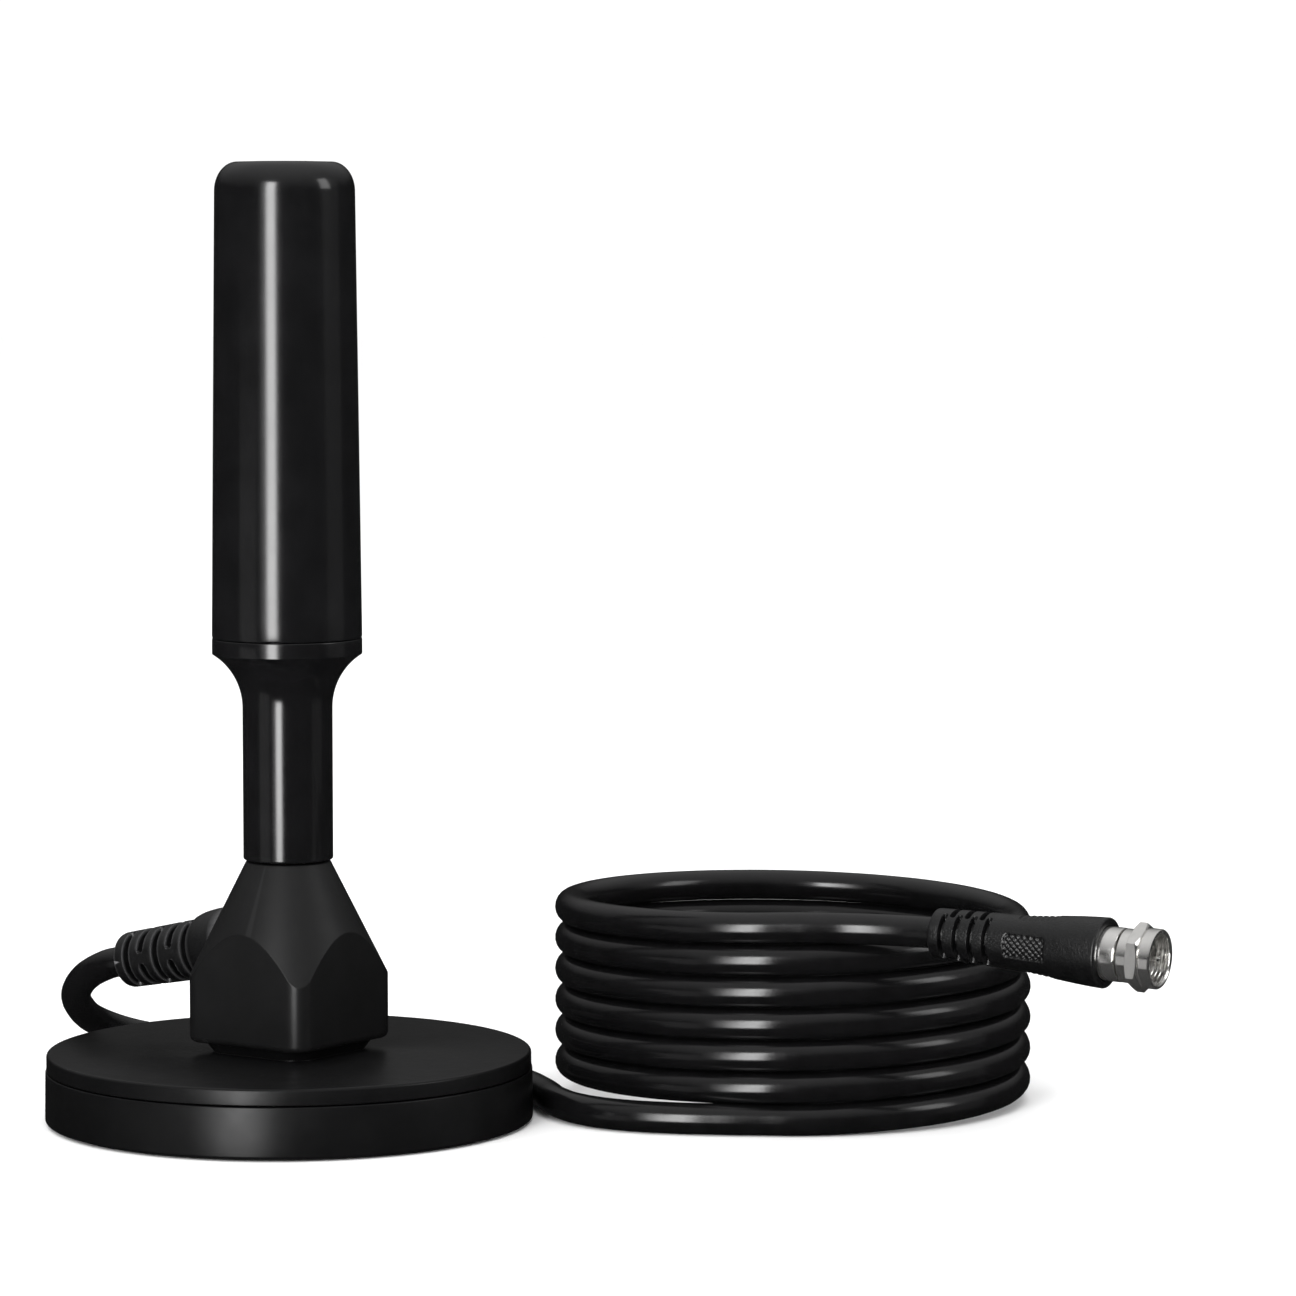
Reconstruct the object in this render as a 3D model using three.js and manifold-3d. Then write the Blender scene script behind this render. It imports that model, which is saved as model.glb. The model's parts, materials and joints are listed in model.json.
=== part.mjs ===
// Omnidirectional indoor antenna: a gloss radome on a flared mast that screws onto a square boss,
// on a round magnetic base, with its coaxial lead wound into a standing coil that ends in an F plug.
// Millimetres, +Z up, origin under the middle of the base. -Y is the front.
import * as THREE from "three";
import { mergeVertices } from "three/addons/utils/BufferGeometryUtils.js";
import Module from "manifold-3d";

const wasm = await Module();
wasm.setup();

// ---- driving dimensions -------------------------------------------------------------------

const GAP = 0.3; // between pieces that meet

// Base: a shell and a cover, both turned, around a magnet.
const BASE_RADIUS = 45.7;
const COVER_RADIUS = 45.4;
const PAD_TOP = 1.6;
const SHELL_BOTTOM = 0.5;
const SHELL_TOP = 9.9;
const COVER_BOTTOM = 10.2;
const BASE_TOP = 13.2;
const WALL = 2.0;
const MAGNET_BOTTOM = 3.8;
const MAGNET_TOP = 8.8;
const BASE_SCREW_CIRCLE = 36.5;
const BASE_SCREW_ANGLES = [30, 150, 270];

// Self-tapping screws, alike in the base and the boss.
const SCREW_HEAD_RADIUS = 2.6;
const SCREW_HEAD_HEIGHT = 1.5;
const SCREW_SHANK_RADIUS = 1.3;
const PILOT_RADIUS = SCREW_SHANK_RADIUS + GAP;
const CLEAR_RADIUS = SCREW_SHANK_RADIUS + 0.4;

// Boss: a rounded square prism under a cone, turned a little about the mast.
// It stands on a narrower plinth of the base cover, which leaves a dark gap under its edge.
const PLINTH_TOP = BASE_TOP + 1.9;
const PLINTH_SIDE = 25;
const PLINTH_CORNER = 5;
const BOSS_BOTTOM = PLINTH_TOP + 0.1;
const BOSS_TOP = 48.9;
const BOSS_SIDE = 28.3;
const BOSS_CORNER = 3.3;
const BOSS_TOP_RADIUS = 7.9;
const BOSS_CONE_SLOPE = 0.501; // radius gained per millimetre down
const BOSS_TURN = 144.8; // degrees, of the face that the lead leaves from
const BOSS_CEILING = 38.0; // underside of the solid top
const BOSS_SCREW_X = 9.5;
const BOSS_SCREW_TOP = 21;
const BOSS_POST_TOP = 23.5;
const BOARD_BOTTOM = 25;
const BOARD_TOP = 26.2;

// Mast and radome.
const SEAL_RADIUS = 6.7;
const SEAL_BOTTOM = BOSS_TOP + 0.1;
const SEAL_TOP = BOSS_TOP + 1.1;
const NECK_BOTTOM = BOSS_TOP + 0.35;
const NECK_RADIUS = 8.4;
const FLARE_SWEEP = 58; // degrees that the flare's arc turns outwards
const FLARE_TOP = 87.8;
const COLLAR_TOP = 90.7;
const SPIGOT_TOP = 96; // of the neck's stub inside the radome
const NECK_BORE = 6.2;
const NECK_FLOOR = 56.2; // that the stud's nut stands on
const RADOME_RADIUS = 14.0; // at the collar
const RADOME_TOP_RADIUS = 13.05;
const RADOME_SHOULDER = 173.7;
const TOTAL_HEIGHT = 179.3;
const RADOME_WALL = 1.4;
const STUD_RADIUS = 2.85;
const STUD_BOTTOM = 40.4;
const STUD_TOP = 65.5;
const SOCKET_RADIUS = 5.0;
const SOCKET_BOTTOM = 37.8;
const SOCKET_TOP = 48.6;
const HELIX_RADIUS = 8.3;
const HELIX_TURNS = 9;
const HELIX_STEPS = 12; // round one turn
const HELIX_BOTTOM = 102;
const HELIX_TOP = 163;
const FORMER_BOTTOM = SPIGOT_TOP + 2;

// Strain relief on the boss face, sloping down and away.
const GLAND_SLOPE = 11.5; // degrees below level
const GLAND_FACE_Z = 32.0;
const GLAND_LENGTH = 25.3;
const GLAND_DOME_LENGTH = 6.3;
const GLAND_DOME_RADIUS = 7.1;
const GLAND_ROOT_RADIUS = 5.75; // of the ribs, next to the dome
const GLAND_MOUTH_RADIUS = 5.3;
const GLAND_RIB_PITCH = 3.72;

// Coaxial lead. The coil stands on the floor beside the base.
const CORD_RADIUS = 2.9;
const COIL_CENTRE = new THREE.Vector2(95.1, 25);
const COIL_RADIUS = 42.7; // to the middle of the cord
const COIL_PITCH = 5.95;
const COIL_TURNS = 6;
const TAIL_BEND = 51; // radius of the stretch between the coil and the plug
const TAIL_TURN = 29.5; // degrees
const PLUG_DROP = 2.3; // degrees that the plug points down

// Plug on the end of the lead.
const PLUG_LENGTH = 34.1; // moulded boot and body
const SLEEVE_END = PLUG_LENGTH + 3.3; // of the metal sleeve that stands out of the boot
const NUT_START = SLEEVE_END + GAP;
const NUT_END = SLEEVE_END + 7.0;
const NUT_FLATS = 11;

// ---- colours and finishes -----------------------------------------------------------------

const finish = (color, roughness, metalness = 0) =>
  new THREE.MeshStandardMaterial({ color, roughness, metalness });

const GLOSS_BLACK = finish(0x08080a, 0.12);
const SATIN_BLACK = finish(0x18181a, 0.42);
const BASE_BLACK = finish(0x141416, 0.5);
const RUBBER = finish(0x0c0c0c, 0.85);
const BOOT_GREY = finish(0x1e1e20, 0.6);
const CORD_BLACK = finish(0x0a0a0b, 0.25);
const NICKEL = finish(0xc9c9cb, 0.15, 1);
const STEEL = finish(0xa5a7aa, 0.35, 1);
const BRASS = finish(0xb08d44, 0.3, 1);
const COPPER = finish(0xb06a3c, 0.3, 1);
const FERRITE = finish(0x26262a, 0.7);
const BOARD_GREEN = finish(0x1c5a34, 0.5);
const CERAMIC = finish(0xb09a7c, 0.5);
const NATURAL_WHITE = finish(0xdedede, 0.6);

// ---- building blocks ----------------------------------------------------------------------

const radians = THREE.MathUtils.degToRad;

// A turned piece about Z from [radius, z] pairs, listed upwards on the outside and closed.
function turned(outline, segments = 32) {
  const points = outline.map(([r, z]) => new THREE.Vector2(r, z));
  points.push(points[0].clone());
  const geometry = new THREE.LatheGeometry(points, segments);
  geometry.rotateX(Math.PI / 2);
  return geometry;
}

// A straight ring or, with no inner radius, a disc.
function ring(outer, inner, bottom, top, segments = 32) {
  return turned([[inner, bottom], [outer, bottom], [outer, top], [inner, top]], segments);
}

// A flat shape raised from one height to another.
function raised(shape, bottom, top, curveSegments = 6) {
  const depth = top - bottom;
  const geometry = new THREE.ExtrudeGeometry(shape, { depth, bevelEnabled: false, curveSegments });
  geometry.translate(0, 0, bottom);
  return geometry;
}

function roundedSquare(side, corner) {
  const h = side / 2;
  const c = h - corner;
  const shape = new THREE.Shape();
  shape.moveTo(h, -c);
  shape.absarc(c, c, corner, 0, Math.PI / 2);
  shape.absarc(-c, c, corner, Math.PI / 2, Math.PI);
  shape.absarc(-c, -c, corner, Math.PI, 1.5 * Math.PI);
  shape.absarc(c, -c, corner, 1.5 * Math.PI, 2 * Math.PI);
  return shape;
}

function hexagon(flats) {
  const radius = flats / Math.sqrt(3);
  const corners = Array.from({ length: 6 }, (_, i) => (i * Math.PI) / 3);
  return new THREE.Shape(
    corners.map((a) => new THREE.Vector2(radius * Math.cos(a), radius * Math.sin(a))),
  );
}

// A round bar along a curve.
function tube(curve, radius, steps, sides = 10) {
  const section = new THREE.Shape();
  for (let i = 0; i < sides; i++) {
    const a = (2 * Math.PI * i) / sides;
    if (i === 0) section.moveTo(radius, 0);
    else section.lineTo(radius * Math.cos(a), radius * Math.sin(a));
  }
  return new THREE.ExtrudeGeometry(section, { steps, extrudePath: curve, bevelEnabled: false });
}

function toSolid(geometry) {
  const bare = geometry.clone();
  bare.deleteAttribute("normal");
  bare.deleteAttribute("uv");
  const merged = mergeVertices(bare, 1e-4);
  const triVerts = merged.index.array;
  return new wasm.Manifold(
    new wasm.Mesh({
      numProp: 3,
      vertProperties: merged.attributes.position.array,
      triVerts: new Uint32Array(triVerts),
    }),
  );
}

function toGeometry(solid) {
  const mesh = solid.getMesh();
  const geometry = new THREE.BufferGeometry();
  geometry.setAttribute("position", new THREE.BufferAttribute(mesh.vertProperties, 3));
  geometry.setIndex(new THREE.BufferAttribute(mesh.triVerts, 1));
  const flat = geometry.toNonIndexed();
  flat.computeVertexNormals();
  return flat;
}

function cut(geometry, ...tools) {
  return toGeometry(tools.reduce((left, tool) => left.subtract(toSolid(tool)), toSolid(geometry)));
}

function join(geometry, ...others) {
  return toGeometry(others.reduce((whole, other) => whole.add(toSolid(other)), toSolid(geometry)));
}

function common(geometry, other) {
  return toGeometry(toSolid(geometry).intersect(toSolid(other)));
}

const moved = (geometry, x, y, z = 0) => geometry.clone().translate(x, y, z);

function add(parent, name, geometry, material) {
  const mesh = new THREE.Mesh(geometry, material);
  mesh.name = name;
  parent.add(mesh);
  return mesh;
}

const antenna = new THREE.Group();

// ---- base ---------------------------------------------------------------------------------

const screwPlaces = BASE_SCREW_ANGLES.map((degrees) => {
  const a = radians(degrees);
  return [BASE_SCREW_CIRCLE * Math.cos(a), BASE_SCREW_CIRCLE * Math.sin(a)];
});

function footPad() {
  return ring(BASE_RADIUS - 1.7, 0, 0, PAD_TOP);
}

function baseShell() {
  const floorBottom = PAD_TOP + GAP;
  const floorTop = MAGNET_BOTTOM - GAP;
  const inside = COVER_RADIUS - WALL;
  const body = turned([
    [0, floorBottom],
    [BASE_RADIUS - 1.4, floorBottom],
    [BASE_RADIUS - 1.4, SHELL_BOTTOM],
    [BASE_RADIUS - 0.4, SHELL_BOTTOM],
    [BASE_RADIUS, SHELL_BOTTOM + 0.5],
    [BASE_RADIUS - 0.1, SHELL_TOP],
    [inside, SHELL_TOP],
    [inside, floorTop],
    [0, floorTop],
  ]);
  const pads = screwPlaces.map(([x, y]) => moved(ring(4.2, 0, floorTop - 0.5, 4.9, 20), x, y));
  const headHole = ring(SCREW_HEAD_RADIUS + 0.4, 0, 0, 3.7, 20);
  const shankHole = ring(CLEAR_RADIUS, 0, 3, 6, 16);
  const heads = screwPlaces.map(([x, y]) => moved(headHole, x, y));
  const shanks = screwPlaces.map(([x, y]) => moved(shankHole, x, y));
  return cut(join(body, ...pads), ...heads, ...shanks);
}

function baseCover() {
  const roof = BASE_TOP - WALL;
  const body = turned([
    [0, roof],
    [COVER_RADIUS - WALL, roof],
    [COVER_RADIUS - WALL, COVER_BOTTOM],
    [COVER_RADIUS, COVER_BOTTOM],
    [COVER_RADIUS, BASE_TOP - 0.7],
    [COVER_RADIUS - 0.7, BASE_TOP],
    [0, BASE_TOP],
  ]);
  const posts = screwPlaces.map(([x, y]) => moved(ring(3.6, 0, 5.2, roof + 0.5, 20), x, y));
  const pilots = screwPlaces.map(([x, y]) => moved(ring(PILOT_RADIUS, 0, 5, 10, 16), x, y));
  const plinth = raised(roundedSquare(PLINTH_SIDE, PLINTH_CORNER), roof + 0.5, PLINTH_TOP, 4);
  plinth.rotateZ(radians(BOSS_TURN));
  const bossHole = ring(CLEAR_RADIUS, 0, roof - 1, PLINTH_TOP + 1, 16);
  const bossHoles = bossScrewPlaces().map(([x, y]) => moved(bossHole, x, y));
  return cut(join(body, plinth, ...posts), ...pilots, ...bossHoles);
}

// A pan-head screw with a cross recess, its head at the bottom.
function screw(bottom, top) {
  const body = turned([
    [0, bottom],
    [SCREW_HEAD_RADIUS - 0.4, bottom],
    [SCREW_HEAD_RADIUS, bottom + 0.4],
    [SCREW_HEAD_RADIUS, bottom + SCREW_HEAD_HEIGHT],
    [SCREW_SHANK_RADIUS, bottom + SCREW_HEAD_HEIGHT],
    [SCREW_SHANK_RADIUS, top - 0.6],
    [SCREW_SHANK_RADIUS - 0.6, top],
    [0, top],
  ], 12);
  const slot = new THREE.BoxGeometry(SCREW_HEAD_RADIUS * 1.2, 0.6, 1.2);
  slot.translate(0, 0, bottom);
  return cut(body, slot, slot.clone().rotateZ(Math.PI / 2));
}

add(antenna, "foot_pad", footPad(), RUBBER);
add(antenna, "base_shell", baseShell(), BASE_BLACK);
add(antenna, "base_cover", baseCover(), BASE_BLACK);
add(antenna, "magnet_ring", ring(30, 12, MAGNET_BOTTOM, MAGNET_TOP), FERRITE);
add(antenna, "steel_plate", ring(32, 12.5, MAGNET_TOP + 0.1, BASE_TOP - WALL - 0.8), STEEL);
screwPlaces.forEach(([x, y], i) => {
  const piece = add(antenna, `base_screw_${i + 1}`, screw(2.1, 9.4), STEEL);
  piece.position.set(x, y, 0);
});

// ---- boss ---------------------------------------------------------------------------------

const boss = new THREE.Group();
boss.rotation.z = radians(BOSS_TURN);
antenna.add(boss);

// The two boss screws stand on the boss's own Y axis.
function bossScrewPlaces() {
  const a = radians(BOSS_TURN + 90);
  return [1, -1].map((side) => [
    side * BOSS_SCREW_X * Math.cos(a),
    side * BOSS_SCREW_X * Math.sin(a),
  ]);
}

// Points the local Z axis outwards along the strain relief, starting on the boss's +X face.
function alongGland(geometry) {
  geometry.rotateY(Math.PI / 2 + radians(GLAND_SLOPE));
  geometry.translate(BOSS_SIDE / 2, 0, GLAND_FACE_Z);
  return geometry;
}

// The boss as a solid block, grown by a margin on every side.
function bossOutside(margin = 0) {
  const bottom = BOSS_BOTTOM - margin;
  const topRadius = BOSS_TOP_RADIUS + margin;
  const cone = turned([
    [0, bottom],
    [topRadius + (BOSS_TOP - bottom) * BOSS_CONE_SLOPE, bottom],
    [topRadius, BOSS_TOP],
    [0, BOSS_TOP],
  ], 48);
  const side = roundedSquare(BOSS_SIDE + 2 * margin, BOSS_CORNER + margin);
  return common(raised(side, bottom, BOSS_TOP + 1, 4), cone);
}

function bossHousing() {
  const hollowSide = BOSS_SIDE - 2 * WALL;
  const hollow = raised(roundedSquare(hollowSide, BOSS_CORNER - 1.5), BOSS_BOTTOM - 1, BOSS_CEILING, 2);
  const hollowCone = moved(bossOutside(), 0, 0, -2.6 / BOSS_CONE_SLOPE);
  const sides = [BOSS_SCREW_X, -BOSS_SCREW_X];
  const posts = sides.map((y) => moved(ring(3.0, 0, BOSS_BOTTOM, BOSS_POST_TOP, 16), 0, y));
  const pilot = ring(PILOT_RADIUS, 0, BOSS_BOTTOM - 1, BOSS_SCREW_TOP + 1, 12);
  const pilots = sides.map((y) => moved(pilot, 0, y));
  const shell = cut(bossOutside(), common(hollow, hollowCone));
  const insertHole = ring(SOCKET_RADIUS + GAP, 0, BOSS_CEILING - 3, BOSS_TOP + 1, 24);
  const leadHole = alongGland(ring(5.0, 0, -6, 4, 20));
  return cut(join(shell, ...posts), ...pilots, insertHole, leadHole);
}

function mastSocket() {
  return turned([
    [STUD_RADIUS + GAP, SOCKET_BOTTOM],
    [SOCKET_RADIUS, SOCKET_BOTTOM],
    [SOCKET_RADIUS, 42],
    [SOCKET_RADIUS - 0.5, 42.6],
    [SOCKET_RADIUS - 0.5, 43.6],
    [SOCKET_RADIUS, 44.2],
    [SOCKET_RADIUS, SOCKET_TOP],
    [STUD_RADIUS + GAP, SOCKET_TOP],
  ], 24);
}

// Flat ring under the socket, with a tail for the lead's centre wire.
function socketTag() {
  const thickness = 0.6;
  const top = SOCKET_BOTTOM - 0.2;
  const washer = ring(SOCKET_RADIUS - 0.1, STUD_RADIUS + GAP, top - thickness, top, 20);
  const tail = new THREE.BoxGeometry(3.4, 2.4, thickness);
  tail.translate(6.2, 0, top - thickness / 2);
  return join(washer, tail);
}

// Ribbed boot: a domed root that grows out of the boss, five slots, and a lip at the mouth.
function strainRelief() {
  const bore = CORD_RADIUS + GAP;
  const dome = GLAND_DOME_RADIUS;
  const outline = [[bore, -5], [dome, -5], [dome, 1], [dome - 0.25, 3], [dome - 0.75, 5]];
  const ribbed = GLAND_LENGTH - GLAND_DOME_LENGTH;
  const narrowing = (GLAND_ROOT_RADIUS - GLAND_MOUTH_RADIUS) / ribbed;
  const taper = (t) => GLAND_ROOT_RADIUS - narrowing * (t - GLAND_DOME_LENGTH);
  for (let i = 0; i < 5; i++) {
    const t = GLAND_DOME_LENGTH + i * GLAND_RIB_PITCH;
    outline.push([taper(t), t], [4.0, t + 0.1], [4.0, t + 1.4], [taper(t), t + 1.5]);
  }
  outline.push([GLAND_MOUTH_RADIUS, GLAND_LENGTH], [bore, GLAND_LENGTH]);
  const boot = cut(alongGland(turned(outline, 24)), bossOutside(GAP));
  return join(boot, alongGland(ring(4.6, bore, -3, 4, 24)));
}

// The lead's own end inside the boot and the boss, stripped down to its braid.
const JACKET_START = -7;

function coaxEnd() {
  return alongGland(ring(CORD_RADIUS, 0, JACKET_START, GLAND_LENGTH - GAP, 16));
}

function coaxBraid() {
  return alongGland(ring(2.1, 0, JACKET_START - 2.7, JACKET_START - 0.3, 12));
}

function cableClamp() {
  const start = JACKET_START + 0.6;
  return alongGland(ring(CORD_RADIUS + 1.5, CORD_RADIUS + GAP, start, start + 3, 16));
}

function matchBoard() {
  const board = raised(roundedSquare(13.2, 1), BOARD_BOTTOM, BOARD_TOP, 2);
  const notch = ring(3.6, 0, BOARD_BOTTOM - 1, BOARD_TOP + 1, 12);
  return cut(board, moved(notch, 0, BOSS_SCREW_X), moved(notch, 0, -BOSS_SCREW_X));
}

// Two-hole ferrite core that lies on the board.
function balunCore() {
  const body = new THREE.BoxGeometry(7, 5.6, 3.4);
  const holes = [-1.4, 1.4].map((y) => {
    const hole = ring(0.8, 0, -5, 5, 16).rotateY(Math.PI / 2);
    return hole.translate(0, y, 0);
  });
  return cut(body, ...holes).translate(-1.2, 0, BOARD_TOP + 2.0);
}

add(boss, "boss_housing", bossHousing(), SATIN_BLACK);
[1, -1].forEach((side, i) => {
  const piece = add(boss, `boss_screw_${i + 1}`, screw(9.2, BOSS_SCREW_TOP), STEEL);
  piece.position.set(0, side * BOSS_SCREW_X, 0);
});
add(boss, "mast_socket", mastSocket(), BRASS);
add(boss, "socket_tag", socketTag(), BRASS);
add(boss, "strain_relief", strainRelief(), BOOT_GREY);
add(boss, "coax_end", coaxEnd(), CORD_BLACK);
add(boss, "coax_braid", coaxBraid(), COPPER);
add(boss, "cable_clamp", cableClamp(), STEEL);
add(boss, "match_board", matchBoard(), BOARD_GREEN);
add(boss, "balun_core", balunCore(), FERRITE);
[4.4, -4.4].forEach((y, i) => {
  const chip = new THREE.BoxGeometry(2.0, 1.2, 0.9).translate(4.2, y, BOARD_TOP + 0.6);
  add(boss, `chip_capacitor_${i + 1}`, chip, CERAMIC);
});

// ---- mast ---------------------------------------------------------------------------------

const mast = new THREE.Group();
antenna.add(mast);

function mastNeck() {
  const sweep = radians(FLARE_SWEEP);
  const bend = (RADOME_RADIUS - NECK_RADIUS) / (1 - Math.cos(sweep));
  const flare = [];
  for (let i = 0; i <= 5; i++) {
    const a = (i / 5) * sweep;
    flare.push([
      NECK_RADIUS + bend * (1 - Math.cos(a)),
      FLARE_TOP - bend * (Math.sin(sweep) - Math.sin(a)),
    ]);
  }
  const spigot = RADOME_RADIUS - RADOME_WALL - GAP;
  return turned([
    [STUD_RADIUS + GAP, SEAL_TOP + 0.2],
    [SEAL_RADIUS + GAP, SEAL_TOP + 0.2],
    [SEAL_RADIUS + GAP, NECK_BOTTOM],
    [NECK_RADIUS - 0.4, NECK_BOTTOM],
    [NECK_RADIUS, NECK_BOTTOM + 0.4],
    ...flare,
    [RADOME_RADIUS, COLLAR_TOP],
    [spigot, COLLAR_TOP],
    [spigot, SPIGOT_TOP],
    [spigot - 1.6, SPIGOT_TOP],
    [spigot - 1.6, FLARE_TOP + 0.4],
    [NECK_BORE, FLARE_TOP - 6.6],
    [NECK_BORE, NECK_FLOOR],
    [STUD_RADIUS + GAP, NECK_FLOOR],
  ]);
}

function mastStud() {
  return turned([
    [0, STUD_BOTTOM],
    [STUD_RADIUS - 0.6, STUD_BOTTOM],
    [STUD_RADIUS, STUD_BOTTOM + 0.6],
    [STUD_RADIUS, STUD_TOP - 2.5],
    [1.2, STUD_TOP - 2.5],
    [1.2, STUD_TOP],
    [0, STUD_TOP],
  ], 20);
}

function studNut() {
  const bottom = NECK_FLOOR + GAP;
  const nut = raised(hexagon(10), bottom, bottom + 4);
  return cut(nut, ring(STUD_RADIUS + GAP, 0, bottom - 1, bottom + 5, 24));
}

function coilFormer() {
  const outer = HELIX_RADIUS - 0.9;
  return turned([
    [outer - 1.2, FORMER_BOTTOM],
    [outer, FORMER_BOTTOM],
    [outer, HELIX_BOTTOM - 1.6],
    [outer + 1.2, HELIX_BOTTOM - 1.6],
    [outer + 1.2, HELIX_BOTTOM - 1.0],
    [outer, HELIX_BOTTOM - 1.0],
    [outer, HELIX_TOP + 4],
    [outer - 1.2, HELIX_TOP + 4],
  ], 20);
}

// Wire that winds up round the former and starts with a straight stretch inside the neck.
function radiatorCoil() {
  const points = [];
  const steps = HELIX_TURNS * HELIX_STEPS;
  for (let i = 0; i <= steps; i++) {
    const a = (i / HELIX_STEPS) * 2 * Math.PI;
    const z = HELIX_BOTTOM + ((HELIX_TOP - HELIX_BOTTOM) * i) / steps;
    points.push(new THREE.Vector3(HELIX_RADIUS * Math.cos(a), HELIX_RADIUS * Math.sin(a), z));
  }
  return tube(new THREE.CatmullRomCurve3(points), 0.5, steps, 5);
}

// Wire from the stud's top to the foot of the winding.
function feedWire() {
  const points = [
    new THREE.Vector3(0, 0, STUD_TOP + 0.4),
    new THREE.Vector3(0, 0, 78),
    new THREE.Vector3(2, 0, 90),
    new THREE.Vector3(4.6, 0, 96),
    new THREE.Vector3(4.6, 0, 100),
  ];
  return tube(new THREE.CatmullRomCurve3(points), 0.8, 12, 8);
}

function formerBase() {
  const disc = ring(10.3, 0, SPIGOT_TOP + GAP, FORMER_BOTTOM - GAP, 20);
  return cut(disc, moved(ring(1.3, 0, SPIGOT_TOP - 2, FORMER_BOTTOM + 2, 16), 4.6, 0));
}

function radome() {
  const outside = [];
  const inside = [];
  const rise = TOTAL_HEIGHT - RADOME_SHOULDER;
  for (let i = 0; i <= 4; i++) {
    const a = (i / 4) * (Math.PI / 2);
    outside.push([
      RADOME_TOP_RADIUS - 4.3 * (1 - Math.cos(a)),
      RADOME_SHOULDER + rise * Math.sin(a),
    ]);
    inside.push([
      RADOME_TOP_RADIUS - RADOME_WALL - 3 * (1 - Math.cos(a)),
      RADOME_SHOULDER + (rise - RADOME_WALL) * Math.sin(a),
    ]);
  }
  inside.reverse();
  return turned([
    [RADOME_RADIUS - RADOME_WALL, COLLAR_TOP + 0.1],
    [RADOME_RADIUS, COLLAR_TOP + 0.1],
    ...outside,
    [0, TOTAL_HEIGHT],
    [0, TOTAL_HEIGHT - RADOME_WALL],
    ...inside,
  ]);
}

add(mast, "neck_seal", ring(SEAL_RADIUS, STUD_RADIUS + 0.5, SEAL_BOTTOM, SEAL_TOP, 24), RUBBER);
add(mast, "mast_neck", mastNeck(), GLOSS_BLACK);
add(mast, "mast_stud", mastStud(), BRASS);
add(mast, "stud_nut", studNut(), BRASS);
add(mast, "feed_wire", feedWire(), COPPER);
add(mast, "former_base", formerBase(), NATURAL_WHITE);
add(mast, "coil_former", coilFormer(), NATURAL_WHITE);
add(mast, "radiator_coil", radiatorCoil(), COPPER);
add(mast, "top_pad", ring(HELIX_RADIUS + 1.2, 0, HELIX_TOP + 4.3, TOTAL_HEIGHT - 1.8, 24), RUBBER);
add(mast, "radome", radome(), GLOSS_BLACK);

// ---- coaxial lead -------------------------------------------------------------------------

const glandWay = new THREE.Vector3(
  Math.cos(radians(BOSS_TURN)) * Math.cos(radians(GLAND_SLOPE)),
  Math.sin(radians(BOSS_TURN)) * Math.cos(radians(GLAND_SLOPE)),
  -Math.sin(radians(GLAND_SLOPE)),
);
const glandFace = new THREE.Vector3(
  (Math.cos(radians(BOSS_TURN)) * BOSS_SIDE) / 2,
  (Math.sin(radians(BOSS_TURN)) * BOSS_SIDE) / 2,
  GLAND_FACE_Z,
);
const glandMouth = glandFace.clone().addScaledVector(glandWay, GLAND_LENGTH);

// The route of the loop behind the base, by hand, to where it meets the foot of the coil.
const LEAD_ROUTE = [
  [-36.8, 26.0, 25.5],
  [-43.2, 35.4, 20.2],
  [-44.0, 48.0, 13.5],
  [-40.2, 57.8, 8.9],
  [-31.6, 64.6, 5.3],
  [-20.0, 67.0, 3.4],
  [-8.0, 63.4, 2.9],
  [4.0, 56.4, 2.9],
  [20.0, 47.0, 2.9],
  [33.0, 37.6, 2.9],
  [42.5, 25.0, 2.9],
  [47.8, 11.5, 2.9],
  [50.4, 2.0, 2.9],
  [55.0, -6.3, 2.9],
  [62.0, -12.0, 2.9],
];

function coaxLead() {
  const points = LEAD_ROUTE.map(([x, y, z]) => new THREE.Vector3(x, y, z));
  points.unshift(glandMouth.clone().addScaledVector(glandWay, 0.1));
  return tube(new THREE.CatmullRomCurve3(points), CORD_RADIUS, 26);
}

function coaxCoil() {
  const top = 2 * CORD_RADIUS + COIL_TURNS * COIL_PITCH;
  const body = ring(COIL_RADIUS + CORD_RADIUS, COIL_RADIUS - CORD_RADIUS, 0, top);
  return body.translate(COIL_CENTRE.x, COIL_CENTRE.y, 0);
}

// The stretch off the top of the coil: an arc that turns to the front.
const tailTop = CORD_RADIUS + COIL_TURNS * COIL_PITCH;
const tailCentre = new THREE.Vector2(COIL_CENTRE.x, COIL_CENTRE.y - COIL_RADIUS - TAIL_BEND);

function tailPoint(degrees) {
  const a = radians(degrees);
  return new THREE.Vector3(
    tailCentre.x + TAIL_BEND * Math.sin(a),
    tailCentre.y + TAIL_BEND * Math.cos(a),
    tailTop,
  );
}

function coaxTail() {
  const points = [20.4, 23.5, 26.5, TAIL_TURN - 0.3].map(tailPoint);
  return tube(new THREE.CatmullRomCurve3(points), CORD_RADIUS, 6);
}

// ---- plug ---------------------------------------------------------------------------------

// The plug is turned about its own Z axis, which starts at the end of the lead and points away.
const plug = new THREE.Group();
plug.position.copy(tailPoint(TAIL_TURN));
plug.rotation.order = "ZYX";
plug.rotation.z = radians(-TAIL_TURN);
plug.rotation.y = Math.PI / 2 + radians(PLUG_DROP);
antenna.add(plug);

function plugBoot() {
  const outline = [[0, 0], [4.6, 0]];
  [1.4, 4.2, 7.0, 9.8].forEach((t) => {
    outline.push([4.7, t], [3.7, t + 0.1], [3.7, t + 1.2], [4.8, t + 1.3]);
  });
  outline.push([4.95, 13], [5.0, 17], [5.6, 22], [6.1, 27], [6.45, 33.6], [6.0, PLUG_LENGTH]);
  outline.push([5.1, PLUG_LENGTH], [5.1, 27], [0, 27]);
  return turned(outline, 24);
}

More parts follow.
